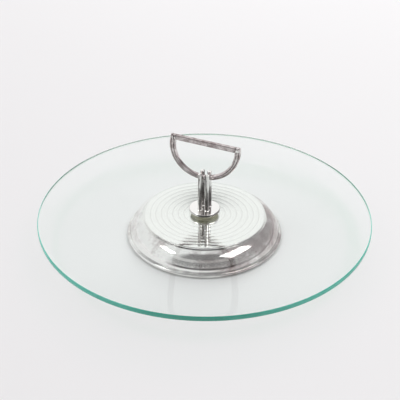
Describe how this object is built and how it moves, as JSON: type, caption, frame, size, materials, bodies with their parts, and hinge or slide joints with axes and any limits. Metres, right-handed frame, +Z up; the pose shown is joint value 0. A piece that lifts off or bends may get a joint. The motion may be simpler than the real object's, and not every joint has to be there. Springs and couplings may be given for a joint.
{
  "type": "glass serving plate with centre handle",
  "caption": "Round glass serving plate clamped to a low spun-metal base by a stemmed D handle that screws through its centre.",
  "frame": {"origin": "centre of the base's underside, on the table", "axes": "+Z up along the screw's axis; +X to the right and +Y to the rear of a viewer who faces the handle"},
  "size_m": [0.35, 0.35, 0.1157],
  "materials": {
    "silver_plate": "polished silver plate with light tarnish",
    "bright_silver": "polished silver plate",
    "tarnished_silver": "tarnished silver plate",
    "glass": "clear float glass, polished edge, green from the side",
    "washer_rubber": "matte, yellowed with age",
    "felt": "felt"
  },
  "bodies": {
    "base": {"base_shell": "silver_plate", "base_plate": "silver_plate", "felt_pad": "felt", "hub": "silver_plate", "lower_washer": "washer_rubber"},
    "plate": {"glass_plate": "glass", "centring_bush": "washer_rubber"},
    "riser": {"upper_washer": "washer_rubber"},
    "handle": {"flange": "bright_silver", "stud": "bright_silver", "rod_front_left": "bright_silver", "rod_front_right": "bright_silver", "rod_rear_left": "bright_silver", "rod_rear_right": "bright_silver", "handle_arc": "tarnished_silver", "grip_bar": "tarnished_silver", "rivet_left": "bright_silver", "rivet_right": "bright_silver", "clamp_pin_left": "bright_silver", "clamp_pin_right": "bright_silver"}
  },
  "joints": [
    {"name": "plate_lift", "type": "slide", "parent": "base", "child": "plate", "axis": [0, 0, 1], "range_m": [0, 0.05]},
    {"name": "handle_rise", "type": "slide", "parent": "plate", "child": "riser", "axis": [0, 0, 1], "range_m": [0, 0.009]},
    {"name": "handle_turn", "type": "hinge", "parent": "riser", "child": "handle", "pos_m": [0, 0, 0.03], "axis": [0, 0, 1], "range_deg": [0, 2592]}
  ],
  "couplings": [
    {"joint": "handle_rise", "follows": "handle_turn", "m_per_rad": 0.00019894}
  ]
}
